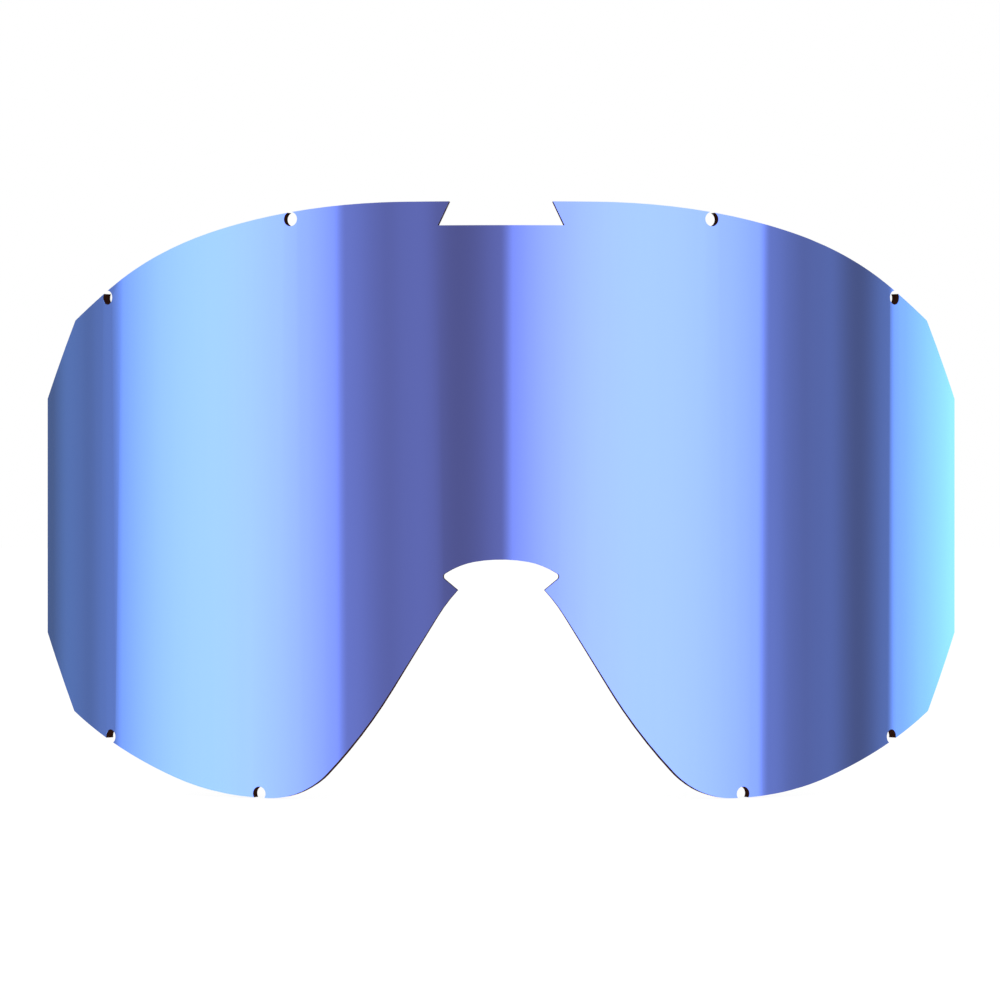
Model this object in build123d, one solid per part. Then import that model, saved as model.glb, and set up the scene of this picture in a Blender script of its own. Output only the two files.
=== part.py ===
from build123d import *
import math
import os

# Spare lens for ski goggles: a mirrored outer pane, a foam spacer and a clear inner pane, bonded
# into one sealed double lens. Every layer is cut flat and bent about one vertical axis, so the
# outline is drawn in the flat: "across" is the distance round the mirrored face from the middle
# of the nose, and "up" is the height. Millimetres, +Z up, the mirrored face towards -Y.

# ---- driving dimensions ----
FACE_RADIUS = 100.0  # mirrored face, outside

COATING_THICKNESS = 0.05
OUTER_PANE_THICKNESS = 1.6
ADHESIVE_THICKNESS = 0.12
SPACER_THICKNESS = 2.4
INNER_PANE_THICKNESS = 0.8
ANTIFOG_THICKNESS = 0.05
MEMBRANE_THICKNESS = 0.25

# top edge, from the locating notch outwards
TOP_UP = 51.49
NOTCH_TOP_HALF_WIDTH = 8.98
NOTCH_FLOOR_HALF_WIDTH = 10.98
NOTCH_FLOOR_UP = 47.36
TOP_FLAT_END = 16.6
CROWN_RADIUS = 152.0
CROWN_TURN = 14.3
SHOULDER_RADIUS = 104.7
SHOULDER_TURN = 13.6

# straight facets at each side
UPPER_CORNER = (87.65, 32.35)
SIDE_ACROSS = 97.25
SIDE_TOP_UP = 18.4
SIDE_BOTTOM_UP = -24.14

# bottom edge, from the lowest point of the cheek lobe outwards
LOBE = (41.67, -52.02)
CHEEK_RADIUS = 65.2
CHEEK_TURN = 17.6
JAW_RADIUS = 180.0
JAW_TURN = 9.16

# nose cut-out, from the lowest point of the cheek lobe inwards and up
LOBE_RADIUS = 15.6
LOBE_TURN = 45.5
NOSE_SIDE_RADIUS = 86.3
NOSE_SIDE_TURN = 12.3
NOSE_SIDE_STRAIGHT = 15.0
TOOTH = (7.54, -15.59)
ARCH_CORNER = (10.45, -13.2)
ARCH_CORNER_ROUND = 0.6
ARCH_UP = -10.32
ARCH_RADIUS = 26.4
ARCH_TURN = 10.2

# pin notches: centres on one side, mirrored to the other
PIN_NOTCH_RADIUS = 1.25
PIN_NOTCHES = {
    "upper_inner": (37.55, 48.84),
    "upper_outer": (78.1, 36.16),
    "lower_outer": (77.25, -42.29),
    "lower_inner": (43.6, -51.29),
}

# layers behind the outer pane, measured in from its outline
INNER_PANE_INSET = 4.0
SPACER_OUTER_INSET = 4.6
SPACER_INNER_INSET = 10.2

# breather: a porous disc over a small hole, because the air between the panes is sealed in
BREATHER = (0.0, 31.5)
BREATHER_HOLE_RADIUS = 0.75
MEMBRANE_RADIUS = 3.5

# planes in front of the bend axis between which the radial walls are ruled
WALL_NEAR = 45.0
WALL_FAR = 110.0
WALL_SAMPLE = 4.0  # spacing of the points that carry a bent edge
CUTTER_LENGTH = 12.0
CUTTER_MIDDLE = 97.0  # distance of a round cutter's middle from the bend axis
SHELL_HEIGHT = 160.0
SAME_PLACE = 0.01  # points nearer than this are one point

# outside radius of each layer, from the mirrored face inwards
OUTER_PANE_RADIUS = FACE_RADIUS - COATING_THICKNESS
FRONT_ADHESIVE_RADIUS = OUTER_PANE_RADIUS - OUTER_PANE_THICKNESS
SPACER_RADIUS = FRONT_ADHESIVE_RADIUS - ADHESIVE_THICKNESS
REAR_ADHESIVE_RADIUS = SPACER_RADIUS - SPACER_THICKNESS
INNER_PANE_RADIUS = REAR_ADHESIVE_RADIUS - ADHESIVE_THICKNESS
ANTIFOG_RADIUS = INNER_PANE_RADIUS - INNER_PANE_THICKNESS
MEMBRANE_OUTSIDE_RADIUS = ANTIFOG_RADIUS - ANTIFOG_THICKNESS


# ---- the flat outline ----
def top_edge():
    """Right half of the top edge: notch floor corner, flat, two arcs and a run to the side facet."""
    wall = Line((NOTCH_FLOOR_HALF_WIDTH, NOTCH_FLOOR_UP), (NOTCH_TOP_HALF_WIDTH, TOP_UP))
    flat = Line(wall @ 1, (TOP_FLAT_END, TOP_UP))
    crown = JernArc(flat @ 1, flat % 1, CROWN_RADIUS, -CROWN_TURN)
    shoulder = JernArc(crown @ 1, crown % 1, SHOULDER_RADIUS, -SHOULDER_TURN)
    return [wall, flat, crown, shoulder, Line(shoulder @ 1, UPPER_CORNER)]


def bottom_edge():
    """Right half of the bottom edge, from the lowest point of the lobe out to the side facet."""
    cheek = JernArc(LOBE, (1, 0), CHEEK_RADIUS, CHEEK_TURN)
    return [cheek, JernArc(cheek @ 1, cheek % 1, JAW_RADIUS, JAW_TURN)]


def side_edges(lower_corner):
    """Three straight facets down the right side."""
    corners = [UPPER_CORNER, (SIDE_ACROSS, SIDE_TOP_UP), (SIDE_ACROSS, SIDE_BOTTOM_UP), lower_corner]
    return [Line(a, b) for a, b in zip(corners, corners[1:])]


def nose_edge():
    """Right half of the nose cut-out, from the lobe up to the tooth, its corner and the arch."""
    lobe = JernArc(LOBE, (-1, 0), LOBE_RADIUS, -LOBE_TURN)
    side = JernArc(lobe @ 1, lobe % 1, NOSE_SIDE_RADIUS, -NOSE_SIDE_TURN)
    straight = Line(side @ 1, side @ 1 + (side % 1) * NOSE_SIDE_STRAIGHT)
    throat = TangentArc(straight @ 1, TOOTH, tangent=straight % 1)
    arch_end = JernArc((0, ARCH_UP), (1, 0), ARCH_RADIUS, -ARCH_TURN)
    haunch = TangentArc(arch_end @ 1, ARCH_CORNER, tangent=arch_end % 1)
    return [lobe, side, straight, throat, Line(TOOTH, ARCH_CORNER), haunch]


def lens_outline():
    """The outer pane as it is cut from flat sheet, without its pin notches."""
    bottom = bottom_edge()
    right = top_edge() + side_edges(bottom[-1] @ 1) + bottom + nose_edge()
    left = [mirror(edge, about=Plane.YZ) for edge in right]
    notch_floor = Line((-NOTCH_FLOOR_HALF_WIDTH, NOTCH_FLOOR_UP), (NOTCH_FLOOR_HALF_WIDTH, NOTCH_FLOOR_UP))
    half_arch = JernArc((0, ARCH_UP), (1, 0), ARCH_RADIUS, -ARCH_TURN)
    arch = ThreePointArc(mirror(half_arch, about=Plane.YZ) @ 1, (0, ARCH_UP), half_arch @ 1)
    outline = make_face(Curve() + right + left + [notch_floor, arch])
    tips = [v for v in outline.vertices() if near(v, ARCH_CORNER)]
    return fillet(tips, ARCH_CORNER_ROUND)


def near(vertex, place):
    """Whether a vertex is the place given for the right side, or its mirror image."""
    return math.hypot(abs(vertex.X) - place[0], vertex.Y - place[1]) < SAME_PLACE


def inset(outline, distance):
    """The outline shrunk evenly."""
    return offset(outline, amount=-distance, kind=Kind.ARC)


# ---- bending ----
def bent_edge(edge, depth):
    """A flat edge carried to the plane at this depth in front of the bend axis, along radial walls."""
    start, end = edge @ 0, edge @ 1
    if abs(start.X - end.X) < SAME_PLACE and edge.geom_type == GeomType.LINE:
        across = depth * math.tan(start.X / FACE_RADIUS)
        return Line((across, start.Y), (across, end.Y))
    count = max(3, math.ceil(edge.length / WALL_SAMPLE)) + 1
    flat = [edge @ (i / (count - 1)) for i in range(count)]
    points = [(depth * math.tan(p.X / FACE_RADIUS), p.Y) for p in flat]
    tangents = []
    for end_point, direction in ((start, edge % 0), (end, edge % 1)):
        stretch = depth / FACE_RADIUS / math.cos(end_point.X / FACE_RADIUS) ** 2
        tangents.append((direction.X * stretch, direction.Y))
    return Spline(*points, tangents=tangents)


def upright(depth):
    """The plane at this depth in front of the bend axis, across to +X and up to +Z."""
    return Plane(origin=(0, -depth, 0), x_dir=(1, 0, 0), z_dir=(0, -1, 0))


def radial_block(outline):
    """A block with this flat outline whose side walls all point at the bend axis."""
    stretch = (WALL_FAR / WALL_NEAR, 1, 1)
    bent = [bent_edge(edge, WALL_NEAR) for edge in outline.wire().order_edges()]
    near_edges = [(upright(WALL_NEAR) * edge).edge() for edge in bent]
    far_edges = [(upright(WALL_FAR) * scale(edge, by=stretch, about=(0, 0, 0))).edge() for edge in bent]
    walls = [Face.make_surface_from_curves(a, b) for a, b in zip(near_edges, far_edges)]
    ends = [Face(Wire(near_edges)), Face(Wire(far_edges))]
    return Solid(Shell(walls + ends))


def shell(outside_radius, thickness):
    """A full ring about the bend axis."""
    return Cylinder(outside_radius, SHELL_HEIGHT) - Cylinder(outside_radius - thickness, SHELL_HEIGHT)


def radial_pin(place, radius):
    """A round cutter that points at the bend axis through a place on the face."""
    angle = place[0] / FACE_RADIUS
    outward = (math.sin(angle), -math.cos(angle), 0)
    base = Plane(origin=(0, 0, place[1]), z_dir=outward)
    return base * Pos(0, 0, CUTTER_MIDDLE) * Cylinder(radius, CUTTER_LENGTH)


def pin_notches():
    """Cutters for all the pin notches, on both sides."""
    cutters = []
    for across, up in PIN_NOTCHES.values():
        cutters.append(radial_pin((across, up), PIN_NOTCH_RADIUS))
        cutters.append(radial_pin((-across, up), PIN_NOTCH_RADIUS))
    return cutters


# ---- the layers ----
def build_layers():
    """Every layer by name: one radial block per outline, cut by the ring between two radii."""
    outline = lens_outline()
    lens_block = radial_block(outline) - pin_notches()
    pane_block = radial_block(inset(outline, INNER_PANE_INSET))
    ring_block = radial_block(inset(outline, SPACER_OUTER_INSET))
    ring_block -= radial_block(inset(outline, SPACER_INNER_INSET))
    breather_hole = radial_pin(BREATHER, BREATHER_HOLE_RADIUS)
    membrane_block = radial_pin(BREATHER, MEMBRANE_RADIUS)
    return {
        "mirror_coating": lens_block & shell(FACE_RADIUS, COATING_THICKNESS),
        "outer_pane": lens_block & shell(OUTER_PANE_RADIUS, OUTER_PANE_THICKNESS),
        "front_adhesive": ring_block & shell(FRONT_ADHESIVE_RADIUS, ADHESIVE_THICKNESS),
        "spacer_gasket": ring_block & shell(SPACER_RADIUS, SPACER_THICKNESS),
        "rear_adhesive": ring_block & shell(REAR_ADHESIVE_RADIUS, ADHESIVE_THICKNESS),
        "inner_pane": (pane_block - breather_hole) & shell(INNER_PANE_RADIUS, INNER_PANE_THICKNESS),
        "antifog_coating": (pane_block - breather_hole) & shell(ANTIFOG_RADIUS, ANTIFOG_THICKNESS),
        "breather_membrane": membrane_block & shell(MEMBRANE_OUTSIDE_RADIUS, MEMBRANE_THICKNESS),
    }


def main():
    layers = build_layers()
    middle = Compound(children=[Part(layer.wrapped) for layer in layers.values()]).bounding_box().center()
    os.makedirs("parts", exist_ok=True)
    for name, layer in layers.items():
        placed = Pos(-middle.X, -middle.Y, -middle.Z) * layer
        placed.label = name
        export_step(placed, f"parts/{name}.step")
    print("origin above and in front of the bend axis:", round(middle.Z, 3), round(middle.Y, 3))


main()
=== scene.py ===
import math
from collections import namedtuple

import bmesh
import bpy
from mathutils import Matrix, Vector, noise


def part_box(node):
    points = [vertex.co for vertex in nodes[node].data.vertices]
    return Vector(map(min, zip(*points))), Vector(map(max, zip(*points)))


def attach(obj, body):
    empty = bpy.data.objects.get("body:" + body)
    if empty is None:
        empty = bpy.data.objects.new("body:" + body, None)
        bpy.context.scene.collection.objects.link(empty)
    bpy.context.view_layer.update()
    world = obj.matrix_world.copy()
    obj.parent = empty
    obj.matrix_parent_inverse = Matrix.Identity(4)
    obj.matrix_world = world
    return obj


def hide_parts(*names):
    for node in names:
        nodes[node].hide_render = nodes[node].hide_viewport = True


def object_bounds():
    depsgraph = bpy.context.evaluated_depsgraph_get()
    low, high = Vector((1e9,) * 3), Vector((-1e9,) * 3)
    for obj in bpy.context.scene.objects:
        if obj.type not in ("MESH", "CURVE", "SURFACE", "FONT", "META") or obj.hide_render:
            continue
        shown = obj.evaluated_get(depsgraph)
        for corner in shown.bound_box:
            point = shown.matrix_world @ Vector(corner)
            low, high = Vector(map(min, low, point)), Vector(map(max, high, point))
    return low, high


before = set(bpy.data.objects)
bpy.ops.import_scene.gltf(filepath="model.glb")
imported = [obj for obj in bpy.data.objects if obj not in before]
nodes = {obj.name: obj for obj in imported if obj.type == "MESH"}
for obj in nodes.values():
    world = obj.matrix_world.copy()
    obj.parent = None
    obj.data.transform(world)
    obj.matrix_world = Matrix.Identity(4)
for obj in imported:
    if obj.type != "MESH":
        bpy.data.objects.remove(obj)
cad_box = [list(corner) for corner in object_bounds()]

# The lens is bent round one upright line. Its mirrored face is this far from it, in metres.
FACE_RADIUS = 0.100
BEND_LINE_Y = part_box("mirror_coating")[0].y + FACE_RADIUS
LENS_LOW, LENS_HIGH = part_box("mirror_coating")
SIDE_TURN = math.asin(LENS_HIGH.x / FACE_RADIUS)
# A radius half-way through the outer pane.
PANE_MIDDLE = FACE_RADIUS - 0.00085
# How squarely a face looks out from the bend line: less, either way, is a cut edge; below the second, a back.
EDGE_FACING = 0.7
REAR_FACING = -0.5


# ---------------------------------------------------------------- node helpers
class Graph:
    """A node tree that is filled from code."""

    def __init__(self, tree):
        self.tree = tree
        self.tree.nodes.clear()

    def add(self, kind, settings=None, **inputs):
        node = self.tree.nodes.new(kind)
        for name, value in (settings or {}).items():
            setattr(node, name, value)
        for name, value in inputs.items():
            self.put(node, name, value)
        return node

    def put(self, node, name, value):
        """Sets or links an input, named like i0 by its number, or by its own name with _ for a space."""
        numbered = name[0] == "i" and name[1:].isdigit()
        socket = node.inputs[int(name[1:]) if numbered else name.replace("_", " ")]
        if isinstance(value, bpy.types.NodeSocket):
            self.tree.links.new(value, socket)
        else:
            socket.default_value = value

    def math(self, operation, a, b=0.0, c=0.0, clamp=False):
        node = self.add("ShaderNodeMath", {"operation": operation, "use_clamp": clamp}, i0=a, i1=b, i2=c)
        return node.outputs[0]

    def vector(self, operation, output=0, **inputs):
        node = self.add("ShaderNodeVectorMath", {"operation": operation}, **inputs)
        return node.outputs[output]

    def spread(self, value, low, high, to_low=0.0, to_high=1.0, smooth=False):
        """Carries low..high over to to_low..to_high, and clamps outside it."""
        kind = "SMOOTHSTEP" if smooth else "LINEAR"
        node = self.add("ShaderNodeMapRange", {"interpolation_type": kind}, i0=value)
        for index, number in zip(range(1, 5), (low, high, to_low, to_high)):
            node.inputs[index].default_value = number
        return node.outputs[0]

    def blend(self, share, a, b):
        node = self.add("ShaderNodeMix", {"data_type": "RGBA"}, i0=share, i6=a, i7=b)
        return node.outputs[2]

    def ramp(self, value, stops, kind="LINEAR"):
        node = self.add("ShaderNodeValToRGB", i0=value)
        ramp = node.color_ramp
        ramp.interpolation = kind
        while len(ramp.elements) < len(stops):
            ramp.elements.new(0.5)
        for element, (place, colour) in zip(ramp.elements, stops):
            element.position = place
            element.color = colour if len(colour) == 4 else (*colour, 1.0)
        return node.outputs[0]

    def tint(self, colour, level):
        """A colour times a brightness."""
        return self.vector("SCALE", i0=colour, Scale=level)

    def place(self):
        """The point's own place in the row frame, as x, y and z."""
        coords = self.add("ShaderNodeTexCoord").outputs["Object"]
        parts = self.add("ShaderNodeSeparateXYZ", i0=coords)
        return coords, parts.outputs

    def noise(self, coords, scale, detail=2.0, stretch=(1.0, 1.0, 1.0)):
        mapped = self.add("ShaderNodeMapping", Vector=coords, Scale=stretch).outputs[0]
        return self.add("ShaderNodeTexNoise", Vector=mapped, Scale=scale, Detail=detail).outputs[0]


def grey(level):
    return (level, level, level, 1.0)


def material(name):
    made = bpy.data.materials.new(name)
    made.use_nodes = True
    return made, Graph(made.node_tree)


def out(graph, shader):
    graph.add("ShaderNodeOutputMaterial", Surface=shader)


def from_bend_line(graph):
    """The level vector from the bend line to the point."""
    _, (x, y, _) = graph.place()
    return graph.add("ShaderNodeCombineXYZ", i0=x, i1=graph.math("SUBTRACT", y, BEND_LINE_Y)).outputs[0]


def lens_turn(graph):
    """The point's place, and how far round the bend it is in radians, alike on both sides of the middle."""
    coords, (x, y, _) = graph.place()
    depth = graph.math("SUBTRACT", BEND_LINE_Y, y)
    return coords, graph.math("ABSOLUTE", graph.math("ARCTAN2", x, depth))


def facing(graph):
    """1 on a layer's front face, -1 on its back and 0 on its cut edges."""
    outward = graph.vector("NORMALIZE", i0=from_bend_line(graph))
    normal = graph.add("ShaderNodeNewGeometry").outputs["True Normal"]
    return graph.vector("DOT_PRODUCT", "Value", i0=outward, i1=normal)


def edge_share(graph):
    """1 on the cut edges of a bent layer and 0 on its two bent faces."""
    return graph.math("LESS_THAN", graph.math("ABSOLUTE", facing(graph)), EDGE_FACING)


def rear_share(graph):
    """1 on the face of a bent layer that looks back at the bend line, and 0 elsewhere."""
    return graph.math("LESS_THAN", facing(graph), REAR_FACING)


def front_share(graph, radius):
    """1 on what lies further out than a radius from the bend line, and 0 inside it."""
    return graph.math("GREATER_THAN", graph.vector("LENGTH", "Value", i0=from_bend_line(graph)), radius)


# ---------------------------------------------------------------- materials
MIRROR_BACK = (0.80, 0.74, 0.68, 1.0)


def mirror_material():
    """The vacuum-deposited mirror: blue-violet in the middle, going to cyan round the bend."""
    made, g = material("mirror")
    coords, turn = lens_turn(g)
    share = g.math("POWER", g.math("DIVIDE", turn, SIDE_TURN), 2.0)
    tint = g.blend(share, (0.21, 0.29, 1.0, 1.0), (0.138, 0.352, 1.0, 1.0))
    streak = g.noise(coords, 1.0, 3.0, (1400.0, 1400.0, 12.0))
    cloud = g.noise(coords, 28.0, 2.0)
    streaked = g.blend(g.spread(streak, 0.3, 0.7, 0.0, 0.05), tint, (0.26, 0.35, 1.0, 1.0))
    clouded = g.blend(g.spread(cloud, 0.35, 0.65, 0.0, 0.04), streaked, (0.17, 0.32, 1.0, 1.0))
    rough = g.spread(streak, 0.3, 0.7, 0.018, 0.03)
    clouded = g.blend(rear_share(g), clouded, MIRROR_BACK)
    shader = g.add(
        "ShaderNodeBsdfPrincipled",
        Base_Color=clouded,
        Metallic=1.0,
        Roughness=rough,
        Coat_Weight=0.35,
        Coat_Roughness=0.6,
        Coat_IOR=1.5,
        Coat_Tint=(1.0, 1.0, 1.0, 1.0),
    )
    out(g, shader.outputs[0])
    return made


def brown_material():
    """Brown polycarbonate: clear from behind, silvered under the mirror, and matt dark brown on its edge."""
    made, g = material("brown_pane")
    coords, _ = g.place()
    milled = edge_share(g)
    cloud = g.noise(coords, 40.0, 2.0)
    grain = g.noise(coords, 1.0, 2.0, (2500.0, 2500.0, 2500.0))
    clouded = g.spread(cloud, 0.3, 0.7)
    body = g.blend(clouded, (0.46, 0.26, 0.17, 1.0), (0.50, 0.285, 0.19, 1.0))
    edge = g.blend(g.spread(grain, 0.3, 0.7), (0.028, 0.0090, 0.0060, 1.0), (0.042, 0.0145, 0.0095, 1.0))
    strength = g.math("MULTIPLY", milled, 0.25)
    bump = g.add("ShaderNodeBump", Strength=strength, Distance=0.00003, Height=grain)
    face = g.add(
        "ShaderNodeBsdfPrincipled",
        Base_Color=body,
        Roughness=g.spread(cloud, 0.3, 0.7, 0.01, 0.02),
        IOR=1.58,
        Transmission_Weight=1.0,
    )
    silvered = g.add(
        "ShaderNodeBsdfPrincipled",
        Base_Color=g.blend(g.spread(cloud, 0.3, 0.7, 0.0, 0.06), MIRROR_BACK, body),
        Roughness=g.spread(cloud, 0.3, 0.7, 0.02, 0.03),
        Metallic=1.0,
    )
    rim = g.add(
        "ShaderNodeBsdfPrincipled",
        Base_Color=edge,
        Roughness=g.spread(grain, 0.3, 0.7, 0.4, 0.55),
        Specular_IOR_Level=0.0,
        Normal=bump.outputs[0],
    )
    covered = front_share(g, PANE_MIDDLE)
    faces = g.add("ShaderNodeMixShader", i0=covered, i1=face.outputs[0], i2=silvered.outputs[0])
    mixed = g.add("ShaderNodeMixShader", i0=milled, i1=faces.outputs[0], i2=rim.outputs[0])
    out(g, mixed.outputs[0])
    return made


def clear_material():
    """Clear inner pane, with a slightly frosted sawn edge."""
    made, g = material("clear_pane")
    coords, _ = g.place()
    sawn = edge_share(g)
    cloud = g.noise(coords, 60.0, 2.0)
    body = g.blend(g.spread(cloud, 0.3, 0.7), (0.985, 0.99, 0.985, 1.0), (0.96, 0.975, 0.97, 1.0))
    rough = g.math("ADD", g.spread(cloud, 0.3, 0.7, 0.008, 0.015), g.math("MULTIPLY", sawn, 0.3))
    shader = g.add(
        "ShaderNodeBsdfPrincipled",
        Base_Color=body,
        Roughness=rough,
        IOR=1.49,
        Specular_IOR_Level=0.3,
        Transmission_Weight=1.0,
    )
    out(g, shader.outputs[0])
    return made


def film_material(name, tint_low, tint_high, haze, gloss, scale):
    """A thin film: it lets light straight through and shows only as a faint haze and gloss."""
    made, g = material(name)
    coords, _ = g.place()
    cloud = g.noise(coords, scale, 4.0)
    share = g.spread(cloud, 0.35, 0.65)
    through = g.add("ShaderNodeBsdfTransparent", Color=g.blend(share, tint_low, tint_high))
    skin = g.add(
        "ShaderNodeBsdfPrincipled",
        Base_Color=g.blend(share, tint_high, tint_low),
        Roughness=g.spread(cloud, 0.35, 0.65, *gloss),
        IOR=1.45,
    )
    amount = g.spread(cloud, 0.35, 0.65, *haze)
    mixed = g.add("ShaderNodeMixShader", i0=amount, i1=through.outputs[0], i2=skin.outputs[0])
    out(g, mixed.outputs[0])
    return made


def foam_material():
    """Closed-cell foam: charcoal, matt, with a skin of fine open cells, their hollows painted darker as
    shade.
    """
    made, g = material("foam")
    coords, _ = g.place()
    cells = g.add("ShaderNodeTexVoronoi", Vector=coords, Scale=2600.0)
    large = g.add("ShaderNodeTexVoronoi", Vector=coords, Scale=900.0)
    mottle = g.noise(coords, 180.0, 4.0)
    height = g.math("ADD", cells.outputs["Distance"], g.math("MULTIPLY", large.outputs["Distance"], 1.4))
    # The tone follows the bump height, so the cell hollows are painted darker than their rims: painted shade
    # in the pits.
    tone = g.blend(g.spread(height, 0.3, 1.6), (0.012, 0.012, 0.013, 1.0), (0.046, 0.045, 0.047, 1.0))
    tone = g.blend(g.spread(mottle, 0.35, 0.65, 0.0, 0.35), tone, (0.060, 0.058, 0.058, 1.0))
    bump = g.add("ShaderNodeBump", Strength=0.8, Distance=0.00012, Height=height)
    shader = g.add(
        "ShaderNodeBsdfPrincipled",
        Base_Color=tone,
        Roughness=g.spread(mottle, 0.35, 0.65, 0.82, 0.96),
        Normal=bump.outputs[0],
        Sheen_Weight=0.15,
        Sheen_Roughness=0.6,
    )
    out(g, shader.outputs[0])
    return made


def membrane_material():
    """Expanded PTFE: white, matt, with fine nodes and fibres, and painted shade in the low spots between
    them.
    """
    made, g = material("membrane")
    coords, _ = g.place()
    fibres = g.noise(coords, 1.0, 5.0, (5200.0, 5200.0, 1700.0))
    pores = g.add("ShaderNodeTexVoronoi", Vector=coords, Scale=4200.0)
    height = g.math("ADD", fibres, g.math("MULTIPLY", pores.outputs["Distance"], 0.5))
    # The tone follows the bump height, so the pores and the gaps between fibres are painted darker: painted
    # shade in the hollows.
    tone = g.blend(g.spread(height, 0.4, 1.1), (0.62, 0.62, 0.60, 1.0), (0.86, 0.86, 0.85, 1.0))
    bump = g.add("ShaderNodeBump", Strength=0.5, Distance=0.00004, Height=height)
    shader = g.add(
        "ShaderNodeBsdfPrincipled",
        Base_Color=tone,
        Roughness=g.spread(fibres, 0.3, 0.7, 0.6, 0.8),
        Normal=bump.outputs[0],
    )
    out(g, shader.outputs[0])
    return made


def wear(node, made):
    """Gives a CAD node its material in every slot."""
    if not nodes[node].material_slots:
        nodes[node].data.materials.append(made)
    for slot in nodes[node].material_slots:
        slot.material = made


ADHESIVE_TINTS = ((0.93, 0.91, 0.86, 1.0), (0.98, 0.97, 0.94, 1.0))
ANTIFOG_TINTS = ((0.97, 0.985, 1.0, 1.0), (1.0, 1.0, 1.0, 1.0))
adhesive = film_material("adhesive", *ADHESIVE_TINTS, haze=(0.002, 0.012), gloss=(0.25, 0.5), scale=900.0)
antifog = film_material("antifog", *ANTIFOG_TINTS, haze=(0.004, 0.012), gloss=(0.12, 0.3), scale=120.0)
wear("mirror_coating", mirror_material())
wear("outer_pane", brown_material())
wear("front_adhesive", adhesive)
wear("rear_adhesive", adhesive)
wear("inner_pane", clear_material())
wear("antifog_coating", antifog)
wear("breather_membrane", membrane_material())


# ---------------------------------------------------------------- the foam gasket
FOAM_VOXEL = 0.00045
FOAM_CLEARANCE = 0.00003
FOAM_BULGE = 0.00030
FOAM_CELL = 0.0011
FOAM_CELL_DEPTH = 0.00009
FINE_CELLS = 2.3


def foam_gasket():
    """The die-cut foam ring between the panes: glued faces flat, cut sides crowned and cellular."""
    mesh = nodes["spacer_gasket"].data.copy()
    mesh.name = "foam_gasket"
    piece = bpy.data.objects.new("foam_gasket", mesh)
    bpy.context.scene.collection.objects.link(piece)
    voxels = piece.modifiers.new("voxels", "REMESH")
    voxels.mode = "VOXEL"
    voxels.voxel_size = FOAM_VOXEL
    dg = bpy.context.evaluated_depsgraph_get()
    made = bpy.data.meshes.new_from_object(piece.evaluated_get(dg))
    piece.modifiers.clear()
    piece.data = made
    made.name = "foam_gasket"
    bm = bmesh.new()
    bm.from_mesh(made)
    bm.normal_update()
    # Every move is worked out before any vertex moves.
    radii = [math.hypot(v.co.x, v.co.y - BEND_LINE_Y) for v in bm.verts]
    low, high = min(radii), max(radii)
    moves = []
    for vert, radius in zip(bm.verts, radii):
        outward = Vector((vert.co.x, vert.co.y - BEND_LINE_Y, 0.0)).normalized()
        across = (radius - low) / (high - low)
        side = vert.normal - outward * vert.normal.dot(outward)
        crown = FOAM_BULGE * 4.0 * across * (1.0 - across)
        cell = noise.noise(vert.co / FOAM_CELL) + 0.5 * noise.noise(vert.co / FOAM_CELL * FINE_CELLS)
        moves.append(side * (crown + FOAM_CELL_DEPTH * cell) - vert.normal * FOAM_CLEARANCE)
    for vert, move in zip(bm.verts, moves):
        vert.co += move
    bm.to_mesh(made)
    bm.free()
    for polygon in made.polygons:
        polygon.use_smooth = True
    made.materials.clear()
    made.materials.append(foam_material())
    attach(piece, "root")
    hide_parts("spacer_gasket")


foam_gasket()


# ---------------------------------------------------------------- studio
CAMERA_DISTANCE = 0.7672
CAMERA_LENS = 160.2
CAMERA_SENSOR = 36.0
FLOOR_HALF_SIZE = 4.0
FLOOR_GAP = 0.0001

# Softboxes stand round the lens as tall panels. Headings go from straight in front, in degrees to the right.
# A panel's brightness falls from its peak to its left and right edges, and its colour from middle to edges.
Softbox = namedtuple("Softbox", "heading half_width peak left right falloff colour edge_colour")
SOFTBOXES = (
    Softbox(-150.0, 24.0, 1.10, 0.70, 0.60, 2.1, (0.98, 1.00, 1.0), (1.00, 1.00, 1.0)),
    Softbox(-62.65, 28.15, 2.16, 1.08, 1.03, 2.1, (0.92, 1.00, 1.0), (0.98, 0.99, 1.0)),
    Softbox(29.6, 28.3, 2.12, 0.91, 1.30, 2.1, (0.92, 1.00, 1.0), (0.98, 0.99, 1.0)),
    Softbox(122.0, 28.6, 2.50, 1.20, 0.60, 1.3, (0.80, 1.06, 1.0), (0.93, 0.96, 1.0)),
)
SOFTBOX_EDGE = 1.4
# Three grey cards fill the gaps between them: the heading of each one's middle, and its tones across it.
CARD_HALF_WIDTH = 17.3
CARDS = (
    (-108.6, (0.22, 0.23, 0.25, 0.29, 0.43, 0.42, 0.39, 0.51, 0.55)),
    (-16.3, (0.59, 0.50, 0.40, 0.43, 0.43, 0.31, 0.28, 0.36, 0.45)),
    (76.0, (0.58, 0.48, 0.38, 0.39, 0.39, 0.27, 0.25, 0.38, 0.47)),
)
CARD_COLOUR = (0.92, 0.97, 1.0)
WARM_ROOM = (0.105, 0.028, 0.0)
# Above and below, between these heights, the ring gives way to plain sky by this much.
SKY_START = 0.55
SKY_END = 0.9
SKY_SHARE = 0.7


def grey_cards(g, turn):
    """The colour of the ring where no softbox stands."""
    seen = grey(CARDS[0][1][0])
    for middle, tones in CARDS:
        across = g.spread(turn, middle - CARD_HALF_WIDTH, middle + CARD_HALF_WIDTH)
        stops = [(i / (len(tones) - 1), grey(tone)) for i, tone in enumerate(tones)]
        begun = g.math("GREATER_THAN", turn, middle - 1.5 * CARD_HALF_WIDTH)
        seen = g.blend(begun, seen, g.ramp(across, stops, "CARDINAL"))
    return g.vector("MULTIPLY_ADD", i0=seen, i1=CARD_COLOUR, i2=WARM_ROOM)


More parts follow.
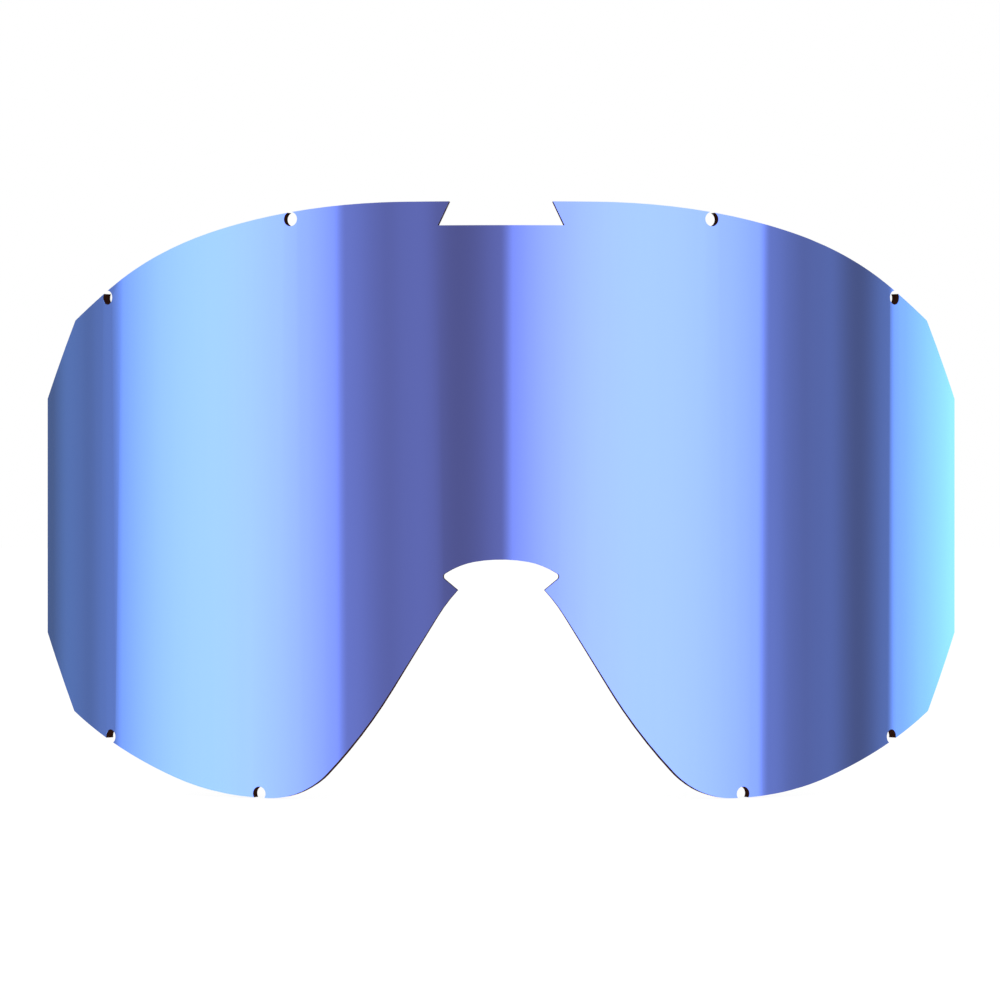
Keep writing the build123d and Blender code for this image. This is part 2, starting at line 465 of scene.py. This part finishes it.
def with_softbox(g, turn, seen, box):
    """The ring's colour with one softbox in front of it."""
    offset = g.math("DIVIDE", g.math("SUBTRACT", turn, box.heading), box.half_width)
    distance = g.math("ABSOLUTE", offset)
    edge = g.spread(offset, -0.01, 0.01, box.left, box.right)
    fall = g.math("POWER", g.math("MINIMUM", distance, 1.0), box.falloff)
    level = g.math("ADD", box.peak, g.math("MULTIPLY", fall, g.math("SUBTRACT", edge, box.peak)))
    panel = g.tint(g.blend(distance, (*box.colour, 1.0), (*box.edge_colour, 1.0)), level)
    soft = SOFTBOX_EDGE / box.half_width
    return g.blend(g.spread(distance, 1.0 + soft, 1.0 - soft, smooth=True), seen, panel)


def studio_world():
    """White behind the lens, soft white light on it, and a ring of softboxes and cards that it mirrors."""
    world = bpy.data.worlds.new("studio")
    world.use_nodes = True
    bpy.context.scene.world = world
    g = Graph(world.node_tree)
    heading = g.add("ShaderNodeTexCoord").outputs["Generated"]
    x, y, z = g.add("ShaderNodeSeparateXYZ", i0=heading).outputs
    turn = g.math("DEGREES", g.math("ARCTAN2", x, g.math("MULTIPLY", y, -1.0)))
    seen = grey_cards(g, turn)
    for box in SOFTBOXES:
        seen = with_softbox(g, turn, seen, box)
    bands = g.add("ShaderNodeBackground", Color=seen, Strength=1.0)
    white = g.add("ShaderNodeBackground", Color=grey(1.0), Strength=1.0)
    height = g.spread(g.math("ABSOLUTE", z), SKY_START, SKY_END, 0.0, SKY_SHARE, smooth=True)
    ring = g.add("ShaderNodeMixShader", i0=height, i1=bands.outputs[0], i2=white.outputs[0])
    path = g.add("ShaderNodeLightPath").outputs
    mirrored = g.math("MAXIMUM", path["Is Glossy Ray"], path["Is Transmission Ray"])
    light = g.add("ShaderNodeMixShader", i0=mirrored, i1=white.outputs[0], i2=ring.outputs[0])
    camera_ray = path["Is Camera Ray"]
    shown = g.add("ShaderNodeMixShader", i0=camera_ray, i1=light.outputs[0], i2=white.outputs[0])
    g.add("ShaderNodeOutputWorld", Surface=shown.outputs[0])


def studio_floor():
    """A white acrylic table top lit from below, just under the lens."""
    bm = bmesh.new()
    bmesh.ops.create_grid(bm, x_segments=8, y_segments=8, size=FLOOR_HALF_SIZE)
    mesh = bpy.data.meshes.new("floor")
    bm.to_mesh(mesh)
    bm.free()
    floor = bpy.data.objects.new("floor", mesh)
    floor.location = (0.0, 0.0, cad_box[0][2] - FLOOR_GAP)
    bpy.context.scene.collection.objects.link(floor)
    made, g = material("floor")
    shader = g.add(
        "ShaderNodeBsdfPrincipled",
        Base_Color=grey(0.12),
        Roughness=0.8,
        Specular_IOR_Level=0.0,
        Emission_Color=grey(1.0),
        Emission_Strength=0.93,
    )
    out(g, shader.outputs[0])
    mesh.materials.append(made)
    floor.visible_glossy = False
    floor.visible_transmission = False


def camera():
    """Level with the middle of the lens and square on to it."""
    data = bpy.data.cameras.new("camera")
    data.lens = CAMERA_LENS
    data.sensor_width = CAMERA_SENSOR
    data.clip_start = 0.01
    data.clip_end = 50.0
    made = bpy.data.objects.new("camera", data)
    made.location = (-0.0002, LENS_LOW.y - CAMERA_DISTANCE, 0.00023)
    made.rotation_euler = (math.radians(90.0), 0.0, 0.0)
    bpy.context.scene.collection.objects.link(made)
    bpy.context.scene.camera = made


studio_world()
studio_floor()
camera()
bpy.context.scene.view_settings.view_transform = "Standard"
